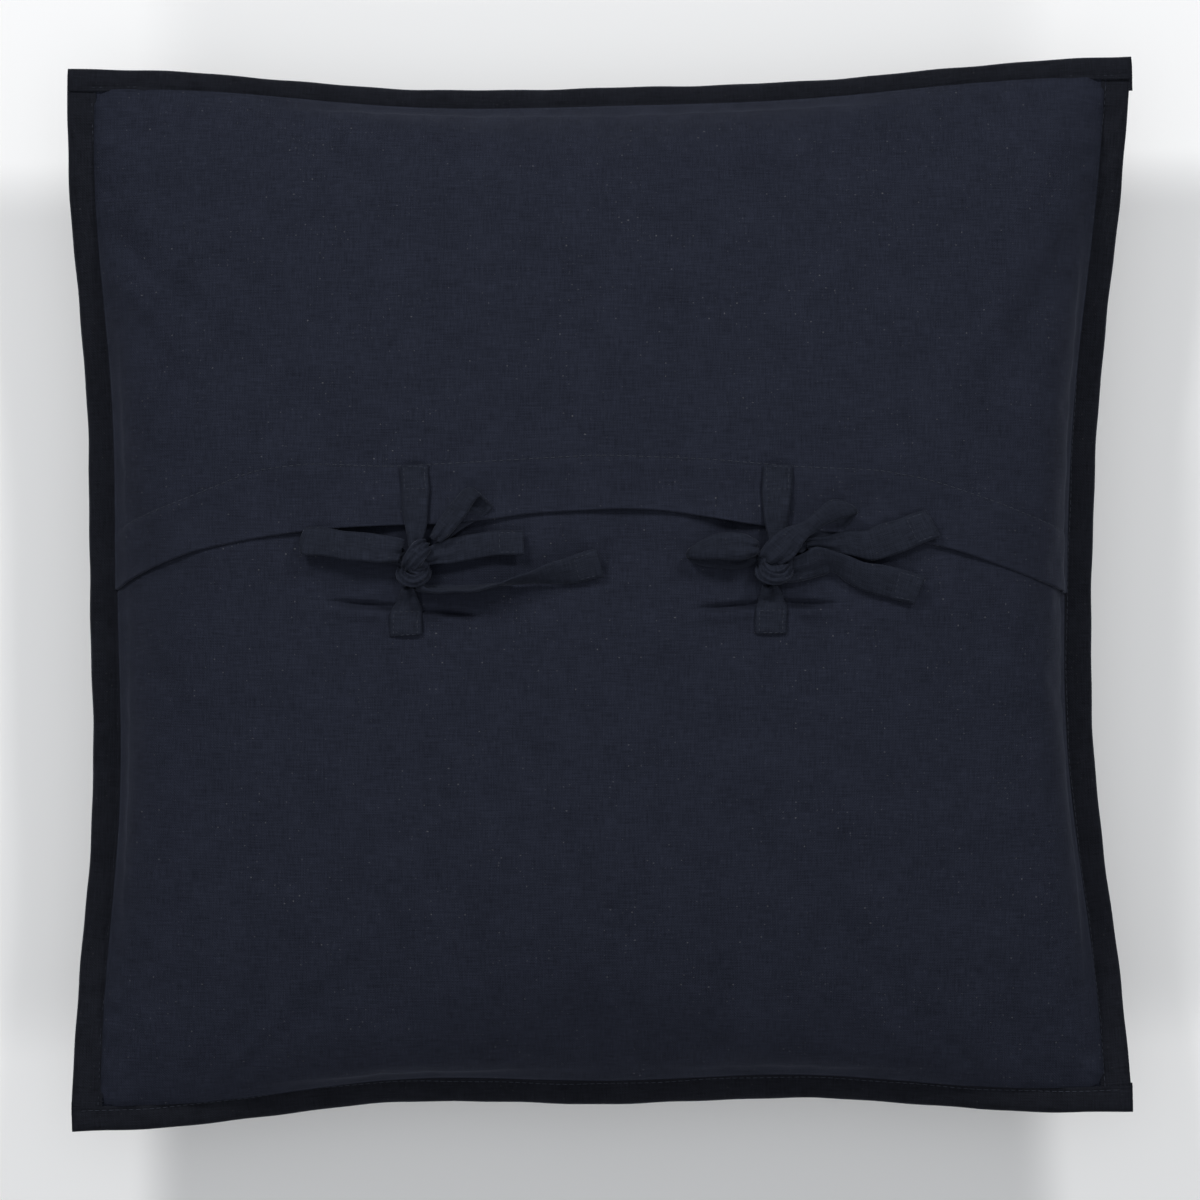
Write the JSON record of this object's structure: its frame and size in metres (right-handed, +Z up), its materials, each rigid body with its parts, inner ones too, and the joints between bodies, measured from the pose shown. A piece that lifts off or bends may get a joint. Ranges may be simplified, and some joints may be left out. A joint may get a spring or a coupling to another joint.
{
  "type": "tie-back cushion",
  "caption": "Square dark navy cushion with a bound flat edge, lying face down to show its envelope back, whose curved flap is closed by sewn tapes tied in bows.",
  "frame": {"origin": "centre of the bounding box at the floor, under the middle of the cushion", "axes": "+Z up from the floor through the cushion's thickness, front face down; +Y towards the flap's sewn side; +X to the right when looking down with +Y ahead"},
  "size_m": [0.5009, 0.505, 0.1588],
  "materials": {
    "cover_cloth": "matte plain weave",
    "binding_cloth": "matte plain weave, folded",
    "tape_cloth": "matte plain weave, sewn double",
    "thread": "spun sewing thread",
    "ticking": "undyed cotton",
    "filling": "loose fibre"
  },
  "bodies": {
    "cushion": {"front_panel": "cover_cloth", "back_lower_panel": "cover_cloth", "back_flap_panel": "cover_cloth", "binding_top": "binding_cloth", "binding_bottom": "binding_cloth", "binding_left": "binding_cloth", "binding_right": "binding_cloth", "insert_front_ticking": "ticking", "insert_back_ticking": "ticking", "insert_filling": "filling", "stitching_flap_hem": "thread", "stitching_top": "thread", "stitching_bottom": "thread", "stitching_left": "thread", "stitching_right": "thread", "left_flap_tab": "tape_cloth", "left_panel_tab": "tape_cloth", "left_knot": "tape_cloth", "left_flap_tab_stitching": "thread", "left_panel_tab_stitching": "thread", "right_flap_tab": "tape_cloth", "right_panel_tab": "tape_cloth", "right_knot": "tape_cloth", "right_flap_tab_stitching": "thread", "right_panel_tab_stitching": "thread"},
    "left_loop_a": {"left_loop_a": "tape_cloth"},
    "left_loop_b": {"left_loop_b": "tape_cloth"},
    "left_tail_a": {"left_tail_a": "tape_cloth"},
    "left_tail_b": {"left_tail_b": "tape_cloth"},
    "right_loop_a": {"right_loop_a": "tape_cloth"},
    "right_loop_b": {"right_loop_b": "tape_cloth"},
    "right_tail_a": {"right_tail_a": "tape_cloth"},
    "right_tail_b": {"right_tail_b": "tape_cloth"}
  },
  "joints": [
    {"name": "left_loop_a_lift", "type": "hinge", "parent": "cushion", "child": "left_loop_a", "pos_m": [-0.1006, 0.017, 0.13988], "axis": [0.1893, 0.9819, 0], "range_deg": [0, 40]},
    {"name": "left_loop_b_lift", "type": "hinge", "parent": "cushion", "child": "left_loop_b", "pos_m": [-0.079, 0.0242, 0.1444], "axis": [0.7362, -0.6768, 0], "range_deg": [0, 40]},
    {"name": "left_tail_a_lift", "type": "hinge", "parent": "cushion", "child": "left_tail_a", "pos_m": [-0.0756, 0.0156, 0.14154], "axis": [0.2757, -0.9612, 0], "range_deg": [0, 60]},
    {"name": "left_tail_b_lift", "type": "hinge", "parent": "cushion", "child": "left_tail_b", "pos_m": [-0.0775, -0.0005, 0.14145], "axis": [-0.0644, -0.9979, 0], "range_deg": [0, 60]},
    {"name": "right_loop_a_lift", "type": "hinge", "parent": "cushion", "child": "right_loop_a", "pos_m": [0.069, 0.014, 0.14306], "axis": [0.2858, 0.9583, 0], "range_deg": [0, 40]},
    {"name": "right_loop_b_lift", "type": "hinge", "parent": "cushion", "child": "right_loop_b", "pos_m": [0.0896, 0.0222, 0.14212], "axis": [0.5682, -0.8229, 0], "range_deg": [0, 40]},
    {"name": "right_tail_a_lift", "type": "hinge", "parent": "cushion", "child": "right_tail_a", "pos_m": [0.0938, 0.0118, 0.13821], "axis": [0.2889, -0.9574, 0], "range_deg": [0, 60]},
    {"name": "right_tail_b_lift", "type": "hinge", "parent": "cushion", "child": "right_tail_b", "pos_m": [0.0925, 0.0005, 0.13845], "axis": [-0.19, -0.9818, 0], "range_deg": [0, 60]}
  ]
}
